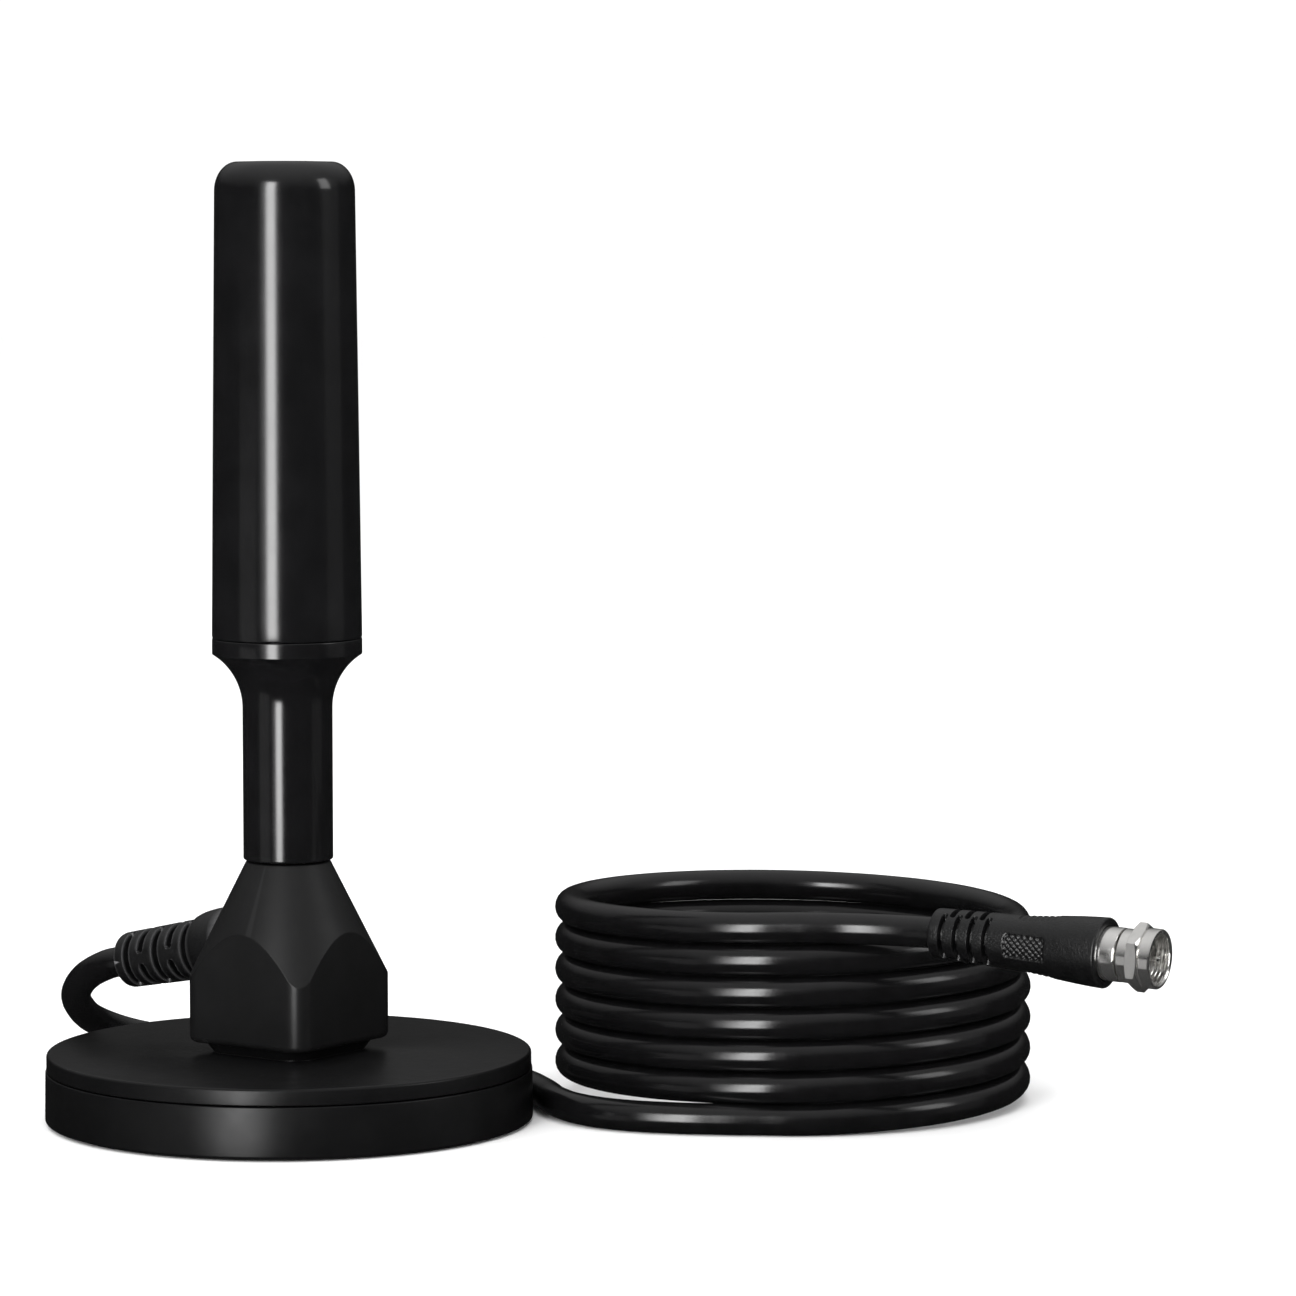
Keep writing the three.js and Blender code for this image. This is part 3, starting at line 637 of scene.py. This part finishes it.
def strain_relief_mesh():
    """Axis along Z from the boss face: X is up, so the sides face along Y."""
    half_width = 0.76
    side_web, end_web = 17, 12
    first = GLAND_DOME_LENGTH + 0.8
    slots = [(first + GLAND_RIB_PITCH * k, "ends" if k % 2 else "side") for k in range(5)]
    stations = slot_stations(slots, half_width)
    stations += [first + GLAND_RIB_PITCH * (k + 0.5) for k in range(4)]
    stations += [GLAND_LENGTH - 1.9, GLAND_LENGTH - 1.3]
    stations.sort()
    bulge = GLAND_DOME_RADIUS - GLAND_ROOT_RADIUS

    def taper(t):
        along_ribs = (t - GLAND_DOME_LENGTH) / (GLAND_LENGTH - GLAND_DOME_LENGTH)
        return GLAND_ROOT_RADIUS + (GLAND_MOUTH_RADIUS - GLAND_ROOT_RADIUS) * along_ribs

    def outline_of(angle):
        body = [(BOOT_BORE, -3.0), (GLAND_DOME_RADIUS, -5.0)]
        for k in range(9):
            t = (GLAND_DOME_LENGTH - 0.15) * k / 8
            rise = math.sqrt(1 - (t / GLAND_DOME_LENGTH) ** 2)
            body.append((GLAND_ROOT_RADIUS + bulge * rise, t))
        for t in stations:
            cut = slot_depth(t, angle, slots, taper(t), half_width, side_web, end_web)
            body.append((taper(t) - GLAND_SLOT_DEPTH * cut, t))
        end = GLAND_LENGTH
        rim = taper(end)
        lip = [(rim, end - 0.6), (rim - 0.1, end - 0.28), (rim - 0.4, end - 0.06),
               (rim - 0.8, end), (3.35, end), (BOOT_BORE, end - 0.2)]
        return body + lip

    face, way = gland_place()
    return columns_mesh("strain_relief_piece", outline_of, 192, along(face, way), 50.0)


def cut_by_boss(obj):
    """Takes away what would lie inside the boss, so that the root ends within its wall."""
    shrink = 1.6
    apex = BOSS_TOP - shrink

    def outline_of(angle):
        reach = square_radius(angle, BOSS_SIDE - shrink, BOSS_CORNER - shrink / 2)
        return [
            (0, BOSS_BOTTOM - 2), (reach, BOSS_BOTTOM - 2), (reach, cone_edge(reach, apex)),
            (BOSS_TOP_RADIUS, apex), (0, apex),
        ]

    cutter_mesh = columns_mesh("cutter", outline_of, 96, Matrix.Rotation(BOSS_TURN, 4, "Z"))
    cutter = bpy.data.objects.new("cutter", cutter_mesh)
    bpy.context.scene.collection.objects.link(cutter)
    boolean = obj.modifiers.new("cut", "BOOLEAN")
    boolean.operation = "DIFFERENCE"
    boolean.solver = "EXACT"
    boolean.object = cutter
    apply_modifiers(obj)
    bpy.data.objects.remove(cutter)
    smooth(obj.data, 50.0)


def apply_modifiers(obj):
    depsgraph = bpy.context.evaluated_depsgraph_get()
    made = bpy.data.meshes.new_from_object(obj.evaluated_get(depsgraph))
    obj.modifiers.clear()
    old = obj.data
    obj.data = made
    bpy.data.meshes.remove(old)


relief = piece("strain_relief_piece", strain_relief_mesh(), BOOT, "base", "relief_rubber",
               "strain_relief")
cut_by_boss(relief)


# ---- mast ---------------------------------------------------------------------------------

def mast_neck():
    """From the recess over the seal up the outside, round the flare, and down the hollow."""
    bend = (RADOME_RADIUS - NECK_RADIUS) / (1 - math.cos(FLARE_SWEEP))
    steps = 20
    flare = []
    for i in range(steps):
        a = FLARE_SWEEP * i / steps
        flare.append((
            NECK_RADIUS + bend * (1 - math.cos(a)),
            FLARE_TOP - bend * (math.sin(FLARE_SWEEP) - math.sin(a)),
        ))
    spigot = RADOME_RADIUS - RADOME_WALL - 0.3
    bore = STUD_RADIUS + 0.3
    recess = SEAL_TOP + 0.2
    foot = filleted([
        (bore, recess, 0), (SEAL_RADIUS + 0.3, recess, 0.1), (SEAL_RADIUS + 0.3, NECK_BOTTOM, 0.1),
        (NECK_RADIUS, NECK_BOTTOM, 0.4), (NECK_RADIUS, flare[0][1], 0), (bore, flare[0][1], 0),
    ])[:-2]
    collar = filleted([
        (*flare[-1], 0), (RADOME_RADIUS, FLARE_TOP, 0.2), (RADOME_RADIUS, COLLAR_TOP, 0.2),
        (spigot, COLLAR_TOP, 0),
    ])[1:]
    core = [
        (spigot, SPIGOT_TOP - 0.4), (spigot - 0.4, SPIGOT_TOP), (spigot - 1.6, SPIGOT_TOP),
        (spigot - 1.6, FLARE_TOP + 0.4), (NECK_BORE, FLARE_TOP - 6.6), (NECK_BORE, NECK_FLOOR),
        (bore, NECK_FLOOR),
    ]
    return turned_mesh("mast_neck_piece", foot + flare + collar + core, 128)


def radome():
    """A tapering tube with an elliptical shoulder and a nearly flat crown."""
    steps = 24
    crown_dip = 0.12
    rise = TOTAL_HEIGHT - RADOME_SHOULDER
    bottom = COLLAR_TOP + 0.12
    outside = []
    inside = []
    for i in range(steps + 1):
        a = i / steps * math.pi / 2
        outside.append((RADOME_TOP_RADIUS - 4.3 * (1 - math.cos(a)),
                        RADOME_SHOULDER + (rise - crown_dip) * math.sin(a)))
        inside.append((RADOME_TOP_RADIUS - RADOME_WALL - 3 * (1 - math.cos(a)),
                       RADOME_SHOULDER + (rise - RADOME_WALL) * math.sin(a)))
    crown = [(5, TOTAL_HEIGHT - 0.04), (0, TOTAL_HEIGHT)]
    inner = RADOME_RADIUS - RADOME_WALL
    rim = [(inner, bottom + 0.2), (inner + 0.2, bottom), (RADOME_RADIUS - 0.35, bottom),
           (RADOME_RADIUS - 0.1, bottom + 0.08), (RADOME_RADIUS, bottom + 0.35)]
    body = []
    for k in range(1, steps):
        share = k / steps
        body.append((RADOME_RADIUS + (RADOME_TOP_RADIUS - RADOME_RADIUS) * share,
                     rim[-1][1] + (RADOME_SHOULDER - rim[-1][1]) * share))
    outline = rim + body + outside + crown + [(0, TOTAL_HEIGHT - RADOME_WALL)] + inside[::-1]
    return turned_mesh("radome_piece", outline, 160)


def mast_stud():
    """A brass stud, threaded up to a pin for the feed wire."""

    def outline_of(angle):
        shank = thread(STUD_RADIUS, THREAD_DEPTH, THREAD_PITCH, STUD_BOTTOM + 0.4, STUD_TOP - 2.9,
                       angle)
        tip = [(STUD_RADIUS - 0.5, STUD_TOP - 2.5), (1.2, STUD_TOP - 2.5), (1.2, STUD_TOP - 0.2),
               (1.0, STUD_TOP), (0, STUD_TOP)]
        return [(0, STUD_BOTTOM), (STUD_RADIUS - 0.7, STUD_BOTTOM)] + shank + tip

    return columns_mesh("mast_stud_piece", outline_of, 64)


def neck_seal():
    corners = [(STUD_RADIUS + 0.5, SEAL_BOTTOM, 0.25), (SEAL_RADIUS, SEAL_BOTTOM, 0.25),
               (SEAL_RADIUS, SEAL_TOP, 0.25), (STUD_RADIUS + 0.5, SEAL_TOP, 0.25)]
    return turned_mesh("neck_seal_piece", filleted(corners), 96)


piece("neck_seal_piece", neck_seal(), SEAL, "seal", "seal_rubber", "neck_seal")
piece("mast_neck_piece", mast_neck(), GLOSS, "mast", "neck_gloss", "mast_neck")
piece("radome_piece", radome(), GLOSS, "mast", "radome_gloss", "radome")
piece("mast_stud_piece", mast_stud(), BRASS, "mast", "brass", "mast_stud")


# ---- plug ---------------------------------------------------------------------------------

def pad_depth(t, angle, outer):
    """Recessed grips: ribs on the top and the underside, a diamond knurl on both sides."""
    across = ((angle + math.pi / 4) % (math.pi / 2) - math.pi / 4) * outer
    ribbed = round(angle / (math.pi / 2)) % 2 == 0
    middle, half_long, half_wide = (20.8, 3.6, 2.6) if ribbed else (19.7, 4.2, 2.3)
    if abs(t - middle) > half_long + 1:
        return 0.0
    floor_depth = 0.40
    corner = 0.8
    dx = max(abs(t - middle) - (half_long - corner), 0.0)
    dy = max(abs(across) - (half_wide - corner), 0.0)
    inside = ramp(corner - math.hypot(dx, dy), -0.1, 0.15)
    if ribbed:
        rib_pitch, rib_height = 1.2, 0.34
        relief = rib_height * (0.5 - 0.5 * math.cos(TAU * (t - middle) / rib_pitch))
    else:
        knurl_pitch, knurl_height = 1.3, 0.30
        u, v = (t + across) / knurl_pitch, (t - across) / knurl_pitch
        relief = knurl_height * (abs(math.sin(math.pi * u)) * abs(math.sin(math.pi * v))) ** 0.7
    return inside * (floor_depth - relief)


def plug_boot():
    """Axis along Z from the end of the lead: X is up and the viewer's side is at -Y."""
    half_width = 0.5
    side_web, end_web = 30, 52
    slots = [(PLUG_SLOT_START + PLUG_SLOT_PITCH * k, "ends" if k % 2 else "side")
             for k in range(7)]
    stations = slot_stations(slots, half_width) + [0.6, 1.2, 12.8, 13.6, 14.3]
    stations += [15 + 0.15 * k for k in range(69)]
    stations += [25.5 + 0.8 * k for k in range(11)]
    stations.sort()

    def outer_radius(t):
        if t < PLUG_WAIST:
            return PLUG_ROOT_RADIUS + (PLUG_WAIST_RADIUS - PLUG_ROOT_RADIUS) * t / PLUG_WAIST
        widened = ramp(t, PLUG_WAIST - 1, PLUG_LENGTH + 1.4)
        return PLUG_WAIST_RADIUS + (PLUG_MOUTH_RADIUS - PLUG_WAIST_RADIUS) * widened

    def radius(t, angle):
        outer = outer_radius(t)
        cut = slot_depth(t, angle, slots, outer, half_width, side_web, end_web)
        return outer - PLUG_SLOT_DEPTH * cut - pad_depth(t, angle, outer)

    def outline_of(angle):
        root = [(BOOT_BORE, 0.25), (3.3, 0.0), (4.25, 0.0), (4.52, 0.12), (PLUG_ROOT_RADIUS, 0.35)]
        body = [(radius(t, angle), t) for t in stations]
        mouth = [
            (6.44, PLUG_LENGTH - 0.35), (6.35, PLUG_LENGTH - 0.12), (6.1, PLUG_LENGTH),
            (5.15, PLUG_LENGTH), (PLUG_POCKET_RADIUS, PLUG_LENGTH - 0.15),
            (PLUG_POCKET_RADIUS, PLUG_POCKET), (BOOT_BORE, PLUG_POCKET),
        ]
        return root + body + mouth

    return columns_mesh("plug_boot_piece", outline_of, 192, plug_place, 50.0)


def coupling_nut():
    """A chamfered hexagon between a collar and a rim, with the thread inside."""
    start, end = NUT_START, NUT_END
    hex_low, hex_high = start + 2.0, end - 2.3
    corner = NUT_FLATS / math.sqrt(3)
    collar = [
        (4.0, start + 0.2), (4.15, start), (4.75, start), (NUT_COLLAR_RADIUS, start + 0.15),
        (NUT_COLLAR_RADIUS, hex_low - 0.1),
    ]
    rim = [
        (5.3, hex_high + 0.06), (5.35, hex_high + 0.3), (NUT_RIM_RADIUS, hex_high + 0.4),
        (NUT_RIM_RADIUS, end - 0.25), (5.3, end), (4.85, end), (4.6, end - 0.2),
    ]

    def outline_of(angle):
        flat = (angle % (math.pi / 3)) - math.pi / 6
        reach = NUT_FLATS / 2 / math.cos(flat)
        drop = max((reach - (corner - 0.75)) / 2, 0.0) + 0.02
        hexagon = [
            (reach - 0.35 - drop, hex_low - 0.02), (reach - 0.12, hex_low + drop),
            (reach, hex_low + drop + 0.12), (reach, hex_high - drop - 0.12),
            (reach - 0.12, hex_high - drop), (reach - 0.35 - drop, hex_high + 0.02),
        ]
        bore = thread(NUT_BORE, NUT_THREAD_DEPTH, NUT_THREAD_PITCH, start + 2.6, end - 0.35,
                      angle, True)
        return collar + hexagon + rim + bore[::-1] + [(4.5, start + 2.1), (4.0, start + 1.9)]

    return columns_mesh("f_nut_piece", outline_of, 144, plug_place, 30.0)


def fitting_sleeve():
    start = PLUG_POCKET + 0.3
    lip = SLEEVE_END + 1.2
    corners = [(SLEEVE_BORE, start, 0), (SLEEVE_RADIUS - 0.15, start, 0.1),
               (SLEEVE_RADIUS, SLEEVE_END - 0.1, 0.25), (3.9, SLEEVE_END, 0.05),
               (3.9, lip, 0.1), (SLEEVE_BORE, lip, 0.05)]
    return turned_mesh("f_body_piece", filleted(corners), 96, plug_place)


def mandrel():
    start = PLUG_POCKET + 1
    face = SLEEVE_END + 3.4
    corners = [(2.2, start, 0), (2.9, start, 0), (2.9, SLEEVE_END + 1.6, 0.1),
               (4.2, SLEEVE_END + 2.5, 0.1), (4.2, face, 0.15), (2.2, face, 0.1)]
    return turned_mesh("f_mandrel_piece", filleted(corners), 72, plug_place)


def dielectric():
    start = PLUG_POCKET + 0.6
    face = SLEEVE_END + 3.3
    corners = [(0.8, start, 0), (1.9, start, 0), (1.9, face, 0.12), (0.8, face, 0.08)]
    return turned_mesh("f_dielectric_piece", filleted(corners), 48, plug_place)


def centre_pin():
    start = PLUG_POCKET + 0.9
    corners = [(0, start, 0), (0.5, start, 0), (0.5, NUT_END - 0.55, 0.1), (0.18, NUT_END, 0.08),
               (0, NUT_END, 0)]
    return turned_mesh("centre_pin_piece", filleted(corners), 32, plug_place)


plug_pieces = [
    piece("plug_boot_piece", plug_boot(), PLUG, "base", "plug_rubber", "plug_boot"),
    piece("f_body_piece", fitting_sleeve(), NICKEL, "base", "nickel", "f_body"),
    piece("f_nut_piece", coupling_nut(), NICKEL, "nut", "nickel", "f_nut"),
    piece("f_mandrel_piece", mandrel(), NICKEL, "base", "nickel", "f_mandrel"),
    piece("f_dielectric_piece", dielectric(), WHITE, "base", "white_plastic", "f_dielectric"),
    piece("centre_pin_piece", centre_pin(), NICKEL, "base", "nickel", "centre_pin"),
]


# ---- floor, world and lights --------------------------------------------------------------

def make_floor():
    bm = bmesh.new()
    bmesh.ops.create_circle(bm, cap_ends=True, segments=96, radius=6)
    mesh = bpy.data.meshes.new("floor")
    bm.to_mesh(mesh)
    bm.free()
    floor = bpy.data.objects.new("floor", mesh)
    bpy.context.scene.collection.objects.link(floor)
    material = bpy.data.materials.new("floor")
    material.use_nodes = True
    shader = material.node_tree.nodes["Principled BSDF"]
    shader.inputs["Base Color"].default_value = (0.95, 0.95, 0.95, 1)
    shader.inputs["Roughness"].default_value = 0.9
    shader.inputs["Specular IOR Level"].default_value = 0.1
    mesh.materials.append(material)
    floor.visible_glossy = False


def make_world():
    """Even white light, while gloss sees a studio that is bright overhead and dark all round."""
    even_light = 1.08
    gloss_dark, gloss_bright = 0.012, 0.7
    world = bpy.data.worlds.new("studio")
    world.use_nodes = True
    tree = world.node_tree
    background = tree.nodes["Background"]
    background.inputs["Color"].default_value = (1, 1, 1, 1)
    way = node(tree, "ShaderNodeTexCoord").outputs["Generated"]
    split = node(tree, "ShaderNodeSeparateXYZ")
    tree.links.new(way, split.inputs[0])
    seen_in_gloss = mapped(tree, split.outputs["Z"], 0.15, 1.0, gloss_dark, gloss_bright)
    path = node(tree, "ShaderNodeLightPath")
    strength = node(tree, "ShaderNodeMix", data_type="FLOAT")
    strength.inputs[2].default_value = even_light
    tree.links.new(path.outputs["Is Glossy Ray"], strength.inputs[0])
    tree.links.new(seen_in_gloss, strength.inputs[3])
    tree.links.new(strength.outputs[0], background.inputs["Strength"])
    bpy.context.scene.world = world


def softbox(name, azimuth, distance, height, size, power, aim_height=None, in_gloss=True):
    """A panel that faces the middle of the scene. Azimuth 0 stands at the camera."""
    middle = 0.05
    a = math.radians(azimuth)
    data = bpy.data.lights.new(name, "AREA")
    data.shape = "RECTANGLE"
    data.size, data.size_y = size
    data.energy = power
    lamp = bpy.data.objects.new(name, data)
    lamp.location = (middle + distance * math.sin(a), -distance * math.cos(a), height)
    target = Vector((middle, 0, height if aim_height is None else aim_height))
    lamp.rotation_euler = (target - lamp.location).to_track_quat("-Z", "Y").to_euler()
    lamp.visible_camera = False
    lamp.visible_glossy = in_gloss
    bpy.context.scene.collection.objects.link(lamp)


make_floor()
make_world()
# After its name, each lamp has azimuth, distance, height, size and power. The key is three nested
# strips, so that its reflection has a bright core and soft sides.
softbox("key_core", -21, 1.28, 0.2, (0.30, 1.2), 11)
softbox("key_middle", -21.5, 1.29, 0.2, (0.42, 1.3), 6.5)
softbox("key_soft", -24, 1.30, 0.2, (0.64, 1.4), 2.2)
softbox("card_left", -60, 1.4, -0.35, (0.7, 0.9), 0.6)
softbox("fill", 74, 1.5, 0.75, (0.5, 0.8), 3.8)
softbox("card_right", 85, 1.5, 0.2, (0.9, 1.5), 0.5)
softbox("back_left", -150, 1.6, 0.5, (0.4, 1.6), 8, in_gloss=False)
softbox("top", 0, 0.4, 1.5, (1.4, 1.4), 9, 0.05, in_gloss=False)

scene = bpy.context.scene
scene.view_settings.view_transform = "Standard"
scene.view_settings.look = "None"
